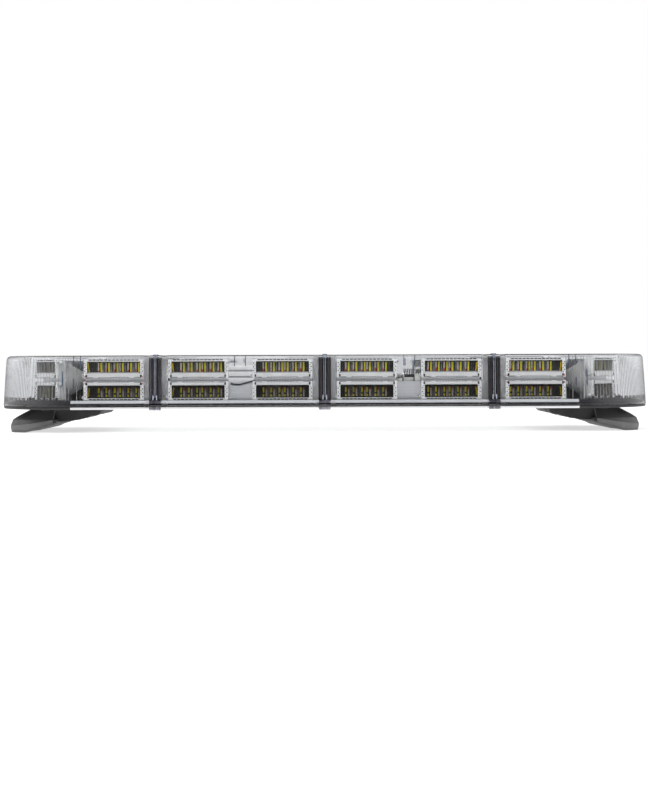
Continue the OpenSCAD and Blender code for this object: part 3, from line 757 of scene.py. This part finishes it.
def add_end_boards(shapes, head, m, tier):
    """The end of the board between the last pair and the window's edge, with its pins and chip."""
    ends = shapes["head_bar_ends"]
    for s in (-1, 1):
        edge = s * head.window
        last = s * (max(head.pairs) + PAIR_HALF + 0.1) + head.toe * tier
        if abs(edge - last) <= 1.5:
            continue
        x = (edge + last) / 2
        half = abs(edge - last) / 2 - 0.3
        shapes["head_end_boards"].strip(x, half, (9.4, 11.6), (9.8, 29.2), m, 0.3)
        for dx in spread(max(int(half * 2 / BOARD_PIN_PITCH), 1), BOARD_PIN_PITCH):
            ends.strip(x + dx, 0.7, (9.0, 9.5), (10.4, 28.6), m)
        ends.strip(x, 1.4, (8.4, 9.6), (19, 22.4), m, 0.3)


def add_rivets(shapes, head, m):
    """Two staggered rows of rivets beside the window, large ones nearer the edge."""
    for s in (-1, 1):
        for k, z in enumerate(RIVET_Z):
            inset, r = (2.2, 0.0011) if k % 2 else (4.2, 0.0008)
            at = mm(s * (head.width / 2 - inset), 0.05, z)
            shapes["head_rivets"].disc(at, (0, -1, 0), r, 0.0005, 10, m)


def add_glint(shapes, head, m, tier):
    """A painted reflection of the last emitter, bent by the trough's end; it glows like the emitters."""
    if abs(head.toe) <= GLINT_TOE:
        return
    s = head.side * tier
    rows = []
    for b in (-1.0, 1.0):
        rows.append([mm(s * (head.window - 3.4 + b + 1.8 * math.sin((z - 10) / 9)), 7.8, z)
                     for z in range(11, 28, 2)])
    shapes["head_glints"].sheet(rows, m, thick=-0.0004)


def add_lead(shapes, head, m):
    """The lead that comes round the side of an outer head and goes in under it."""
    route = ((2.4, -0.2, 4.6), (3.4, -0.9, 4.0), (3.8, -0.4, 2.4), (3.4, 2.4, 0.6), (2.6, 14, -0.4))
    if head.outer:
        for s in (-1, 1):
            points = [mm(s * (head.window + x), y, z) for x, y, z in route]
            shapes["head_leads"].tube(points, 0.0008, 8, m)


def make_head_details(mats):
    # Name, finish, slot and smoothing angle of each piece
    pieces = (
        ("head_bars", "bar", "frame_white", 35),
        ("head_combs", "bar", "frame_white", 35),
        ("head_bar_ends", "cell", "board_black", 35),
        ("head_reflectors", "reflector", "board_black", 35),
        ("head_cell_walls", "cell", "board_black", 0),
        ("head_rivets", "rivet", "zinc_steel", 35),
        ("head_end_boards", "end_board", "pcb_green", 35),
        ("head_leads", "head_lead", "wire_black", 35),
        ("head_glints", "glint", "board_black", 35),
        ("head_lips", "lip", "frame_white", 35),
        ("head_wall_edges", "cell_edge", "board_black", 0),
    )
    shapes = {name: Shape(name) for name, _, _, _ in pieces}
    for head in find_row_heads("front", 1) + find_row_heads("rear", -1) + find_corner_heads():
        for m, tier in head.tiers():
            shapes["head_reflectors"].sheet(trough(head.window + 0.3), m, thick=-0.00025)
            add_bars(shapes, head, m, tier)
            add_slots(shapes, head, m, tier)
            add_cells(shapes, head, m, tier)
            add_end_boards(shapes, head, m, tier)
            add_rivets(shapes, head, m)
            add_glint(shapes, head, m, tier)
            add_lead(shapes, head, m)
    for name, finish, slot, smooth in pieces:
        shapes[name].done(mats[finish], slot, smooth=smooth)


# ---------------------------------------------------------------- lenses

# Thickness of the wall and of its foot, how far the wall leans in, and the radius of the top edge
WALL, FLANGE = 0.003, 0.0038
LEAN, EDGE = 0.007, 0.008
# Extra thickness at a rib
COLLAR = 0.0014
# Flutes: depth, pitch, half the angle that they cover in degrees, and stations to each
FLUTE, FLUTE_PITCH, FLUTE_ARC = 0.0010, 0.0045, 58
FLUTE_STEPS = 6
RIDGE, RIDGE_PITCH = 0.0007, 0.006
# Inner ribs of an end lens, back from where its round end starts
END_RIBS = (0.0175, 0.005)
# Height of a ridge across its width, from -1 to 1
RIDGE_PROFILE = ((-1, 0), (-0.5, 0.8), (0, 1), (0.5, 0.8), (1, 0))


class LensShape:
    """The lens's section, as (r, z) points, from the boxes of the CAD lenses."""

    def __init__(self):
        lo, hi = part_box("dome_end_right")
        self.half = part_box("base_extrusion")[1][0]
        self.x0, self.low, self.top = lo[0], lo[2], hi[2]
        self.r = hi[0] - self.half

    def wall(self, d, z):
        """How far out a face is at a height, d deep in the lens."""
        return self.r - d - LEAN * (z - self.low) / (self.top - EDGE - self.low)

    def corner(self, d, angles, flute=0.0):
        """The rounded top edge, d deep in the lens."""
        r = max(EDGE - d, 0.0005)
        out = []
        for a in angles:
            c, s = math.cos(math.radians(a)), math.sin(math.radians(a))
            out.append((self.r - LEAN - d + r * (c - 1) - flute * c * c, self.top - d + r * (s - 1)))
        return out

    def outer(self):
        return [(self.r, self.low)] + self.corner(0, range(0, 91, 10)) + [(0, self.top)]

    def ring(self, extra, flute):
        """The closed section; extra thickens it as a collar, flute as a flute."""
        d = WALL + extra
        z_collar, z_flange = self.low + 0.0112, self.low + 0.0026
        inner = [(0, self.top - d)] + self.corner(d, range(90, -1, -10), flute)
        for z in (self.top - 0.0125, z_collar + 0.002):
            inner.append((self.wall(d, z) - flute, z))
        inner += [(self.wall(d, z_collar), z_collar), (self.wall(WALL, z_collar), z_collar),
                  (self.wall(WALL, z_flange), z_flange),
                  (self.r - FLANGE, z_flange), (self.r - FLANGE, self.low)]
        return self.outer() + inner


def straight_stations(lens):
    """(x, angle, extra, flute) from the joint to the round end, with its collars and two fine ridges."""
    steps = [(lens.x0, 0)]
    spans = [(lens.x0 + 0.0115, lens.x0 + 0.0202)]
    spans += [(lens.half - k - 0.0007, lens.half - k + 0.0007) for k in END_RIBS]
    for a, b in spans:
        steps += [(a, 0), (a, COLLAR), (b, COLLAR), (b, 0)]
    out = [(x, None, extra, 0.0) for x, extra in steps]
    for x in (lens.half - 0.0235, lens.half - 0.0115):
        out += [(x + k * 0.0004, None, 0, RIDGE * h) for k, h in ((-1, 0), (0, 1), (1, 0))]
    return sorted(out, key=lambda s: s[0])


def round_stations(lens):
    """(x, angle, extra, flute) round the end: flutes in the middle, ridges on each side of them."""
    inner_r = lens.r - WALL - LEAN / 2
    ridge_step = math.degrees(RIDGE_PITCH / inner_r)
    ridges = []
    a = -90 + ridge_step / 2
    while a < -FLUTE_ARC - ridge_step / 2:
        ridges.append(a)
        a += ridge_step
    flutes = round(math.radians(2 * FLUTE_ARC) * inner_r / FLUTE_PITCH)
    step = 2 * FLUTE_ARC / flutes / FLUTE_STEPS

    def ridged(angles):
        return [(None, a + k * 0.16, 0, RIDGE * h) for a in angles for k, h in RIDGE_PROFILE]

    out = [(None, -90.0, 0, 0.0)] + ridged(ridges)
    for k in range(flutes * FLUTE_STEPS + 1):
        depth = 0.5 - 0.5 * math.cos(2 * math.pi / FLUTE_STEPS * k)
        out.append((None, -FLUTE_ARC + k * step, 0, FLUTE * depth))
    return out + ridged([-a for a in reversed(ridges)]) + [(None, 90.0, 0, 0.0)]


def make_lens_end(side, mat):
    """A round-ended lens with the moulded flutes inside its end, from its joint round to its joint."""
    lens = LensShape()
    straight = straight_stations(lens)
    word = "right" if side > 0 else "left"
    shape = Shape("lens_end_" + word)
    bm = shape.bm

    def column(x, angle, extra, flute, way):
        ring = lens.ring(extra, flute)
        if angle is None:
            return [bm.verts.new((side * x, way * r, z)) for r, z in ring]
        c, s = math.cos(math.radians(angle)), math.sin(math.radians(angle))
        return [bm.verts.new((side * (lens.half + r * c), r * s, z)) for r, z in ring]

    columns = [column(*s, -1) for s in straight] + [column(*s, 0) for s in round_stations(lens)]
    columns += [column(*s, 1) for s in reversed(straight)]
    # the section's edge at r = 0 gets no face, because the two halves of the roof meet there
    skip = len(lens.outer()) - 1
    for a, b in zip(columns, columns[1:]):
        for k in range(len(a)):
            if k != skip:
                j = (k + 1) % len(a)
                bm.faces.new((a[k], a[j], b[j], b[k]))
    bm.faces.new(columns[0])
    bm.faces.new(columns[-1][::-1])
    bmesh.ops.remove_doubles(bm, verts=bm.verts, dist=1e-6)
    bmesh.ops.dissolve_degenerate(bm, dist=1e-7, edges=bm.edges)
    bmesh.ops.triangulate(bm, faces=[f for f in bm.faces if len(f.verts) > 4])
    for way in (-1, 1):
        # boss beside the joint
        at = (side * (lens.x0 + 0.0023), way * (lens.r - 0.0015), lens.low + 0.0166)
        shape.disc(at, (0, way, 0), 0.0017, 0.0017, 20)
    ob = shape.done(mat, "lens_clear", smooth=30, shadow=False)
    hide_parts("dome_end_" + word)


def make_joint_details(mats):
    """Pale beads along both sides of each lens joint, and the pale prongs of the lower clips: both are
    painted highlights on the clear parts there.
    """
    lens = LensShape()
    beads, prongs = Shape("joint_highlight_beads"), Shape("clip_highlight_prongs")
    proud, bead_low, bead_off, bead_r = -0.0001, lens.low + 0.016, 0.0014, 0.0004
    prong_z = (lens.low + 0.0115, lens.low + 0.020)
    prong_off, prong_half = 0.0032, 0.0009
    path = [(lens.wall(proud, bead_low), bead_low)] + lens.corner(proud, range(0, 91, 10))
    loop = [(-r, z) for r, z in path] + [(r, z) for r, z in reversed(path)]
    for n in sorted(named("bulkhead_")):
        x = middle(n, 0)
        # The beads are painted highlights along the lens edges at the joint.
        for dx in (-bead_off, bead_off):
            beads.tube([(x + dx, y, z) for y, z in loop], bead_r, 6)
        # The pale prongs stand in for the small highlights on each clip: painted highlights.
        for way in (-1, 1):
            y = way * (lens.r + 0.0007)
            y_lo, y_hi = sorted((y, y + way * 0.001))
            for dx in (-prong_off, prong_off):
                prongs.block((x + dx - prong_half, y_lo, prong_z[0]),
                             (x + dx + prong_half, y_hi, prong_z[1]), bevel=0.0004)
    beads.done(mats["bead"], "lens_clear")
    prongs.done(mats["bead"], "lens_clear")


def make_rib_lines(mats):
    """Opaque blue-grey lines along the lenses' inner ribs: painted reflection, the dark look of the clear
    ribs.
    """
    lens = LensShape()
    lines = Shape("rib_reflection_lines")
    mid = middle("dome_mid_right", 0)
    near_top, lower_down, on_bend = (0, 12), (34, 50), (20, 48)
    # x of each line on the right half, and where it runs in mm below the start of the rounded top edge
    ribs = ((mid - 0.0098, (near_top,)), (mid + 0.0098, (near_top,)),
            (lens.half - END_RIBS[0], (near_top,)), (lens.half - END_RIBS[1], (near_top, lower_down)),
            (lens.half + 0.0145, (on_bend,)))
    depth = WALL + COLLAR + 0.0004
    z_edge = lens.top - EDGE
    for x, spans in ribs:
        for a, b in spans:
            path = [(lens.wall(depth, z_edge - d / 1000), z_edge - d / 1000) for d in (b, (a + b) / 2, a)]
            if a == 0:
                path += lens.corner(depth, (20, 40, 60, 80))
            for side in (-1, 1):
                for way in (-1, 1):
                    lines.tube([(side * x, way * r, z) for r, z in path], 0.0008, 6)
    lines.done(mats["rib"], "lens_clear")


# ---------------------------------------------------------------- between the heads


def make_driver_ribs(mats):
    """The raised ribs on the driver's front and rear faces, painted brighter than the housing's white:
    painted highlight.
    """
    (x0, y0, _), (x1, y1, _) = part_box("driver_housing")
    ribs = Shape("driver_ribs")
    inset, height, sunk, proud = 0.010, 0.0085, 0.0005, 0.004
    for way, y in ((-1, y0), (1, y1)):
        y_lo, y_hi = sorted((y - way * sunk, y + way * proud))
        for z in (0.090, 0.1015, 0.113):
            ribs.block((x0 + inset, y_lo, z), (x1 - inset, y_hi, z + height), bevel=0.0012)
    ribs.done(mats["driver_rib"], "driver_white")


def make_row_wiring(mats):
    """The loose lead, the connectors and their pins that show between the heads of each row."""
    leads, blocks, pins = Shape("loose_leads"), Shape("row_connectors"), Shape("row_pins")
    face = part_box("rail_front")[0][1]
    y = face - 0.0019
    lead = [(-0.178, y + 0.009, 0.0955), (-0.1745, y, 0.0895), (-0.165, y, 0.0868), (-0.155, y, 0.0868),
            (-0.147, y, 0.0885), (-0.137, y, 0.0915), (-0.128, y, 0.0935), (-0.124, y + 0.009, 0.097)]
    y = face + 0.001
    for turn in (0, math.pi):
        m = Matrix.Rotation(turn, 4, "Z")
        leads.tube(lead, 0.0017, 8, m)
        blocks.block((0.129, y, 0.0925), (0.1415, y + 0.010, 0.1065), m, bevel=0.0008)
        blocks.block((0.164, y, 0.0925), (0.1745, y + 0.010, 0.118), m, bevel=0.0008)
        blocks.block((0.144, y + 0.006, 0.0922), (0.162, y + 0.012, 0.099), m, bevel=0.0008)
        for k in range(4):
            x = 0.1302 + 0.0030 * k
            pins.block((x, y - 0.0012, 0.0975), (x + 0.0015, y + 0.001, 0.1025), m, bevel=0.0002)
            x, z = 0.1655 + 0.0024 * k, 0.105 + 0.002 * (k % 2)
            pins.block((x, y - 0.0012, z), (x + 0.0013, y + 0.001, 0.114), m, bevel=0.0002)
        for k in range(6):
            x = 0.1455 + 0.0030 * k
            wire = [(x, y + 0.009, 0.0985), (x + 0.0003, y + 0.0085, 0.106),
                    (x + 0.0002 * k - 0.0003, y + 0.012, 0.1125), (x, y + 0.024, 0.114)]
            pins.tube(wire, 0.0009, 8, m)
    leads.done(mats["lead"], "wire_black")
    blocks.done(mats["plug"], "plug_white")
    pins.done(mats["lead"], "wire_black")


def make_foot_details(side, mats):
    """The dark end plate on the inner end of a foot's cover, and the paler strips down its edges, which are
    painted highlights.
    """
    word = "right" if side > 0 else "left"
    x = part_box("foot_cover_" + word)[0 if side > 0 else 1][0]
    plate, edge = Shape("foot_end_plate_" + word), Shape("foot_edge_highlight_" + word)
    flank = [(0.0922, 0.0236), (0.0870, 0.0270), (0.0750, 0.0398)]
    outline = flank + [(-y, z) for y, z in reversed(flank)]
    plate.plate(*([(x + side * d, y, z) for y, z in outline] for d in (0.0003, 0.0015)))
    # The paler strips are painted highlights on the cover's end edges.
    slope = ((0.0950, 0.0246), (0.0890, 0.0300), (0.0775, 0.0418))
    for way in (-1, 1):
        edge.tube([(x - side * 0.0009, way * y, z) for y, z in slope], 0.0009, 8)
    plate.done(mats["shield"], "foot_cover_grey", body=word + "_foot", smooth=0)
    edge.done(mats["foot_edge"], "foot_cover_grey", body=word + "_foot")


def make_tray_teeth(mats):
    """The dark toothed ring inside each end tray, every other tooth taller."""
    lens = LensShape()
    teeth = Shape("tray_teeth")
    pitch, reach = 2.4, 34
    near, far, half = lens.r - 0.0120, lens.r - 0.0090, 0.0026
    for side, turn in ((-1, math.pi), (1, 0)):
        centre = Matrix.Translation((side * lens.half, 0, 0))
        for k in range(-reach, reach + 1):
            m = centre @ Matrix.Rotation(math.radians(k * pitch) + turn, 4, "Z")
            top = lens.low + (0.0160 if k % 2 else 0.0115)
            teeth.block((near, -half, lens.low + 0.0005), (far, half, top), m, bevel=0.0004)
    teeth.done(mats["tooth"], "tray_black")


def make_pod_shields(mats):
    """The dark shields between the end heads and the grey cones."""
    shields = Shape("pod_shields")
    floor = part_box("base_extrusion")[0][2] + 0.0032
    outline = [(0.431, floor), (0.486, floor), (0.486, 0.070), (0.474, 0.078), (0.452, 0.088), (0.431, 0.088)]
    for sx in (-1, 1):
        for sy in (-1, 1):
            shields.plate(*([(sx * x, sy * y, z) for x, z in outline] for y in (0.0645, 0.0625)))
    shields.done(mats["shield"], "tray_black", smooth=0)


# ---------------------------------------------------------------- the model

make_camera()
make_world()
for light in LIGHTS:
    area_light(*light)
make_floor()

lens_finish = lens_plastic("lens_clear", (0.935, 0.945, 0.965))
finish_clear_nodes(lens_finish)
finish_metal_nodes()
finish_housing_nodes()
finish_electric_nodes()
finish_foot_nodes()
mats = make_piece_finishes(lens_finish)

for side in (-1, 1):
    make_lens_end(side, mats["lens"])
make_joint_details(mats)
make_rib_lines(mats)
make_head_details(mats)
make_driver_ribs(mats)
make_row_wiring(mats)
for side in (-1, 1):
    make_foot_details(side, mats)
make_tray_teeth(mats)
make_pod_shields(mats)
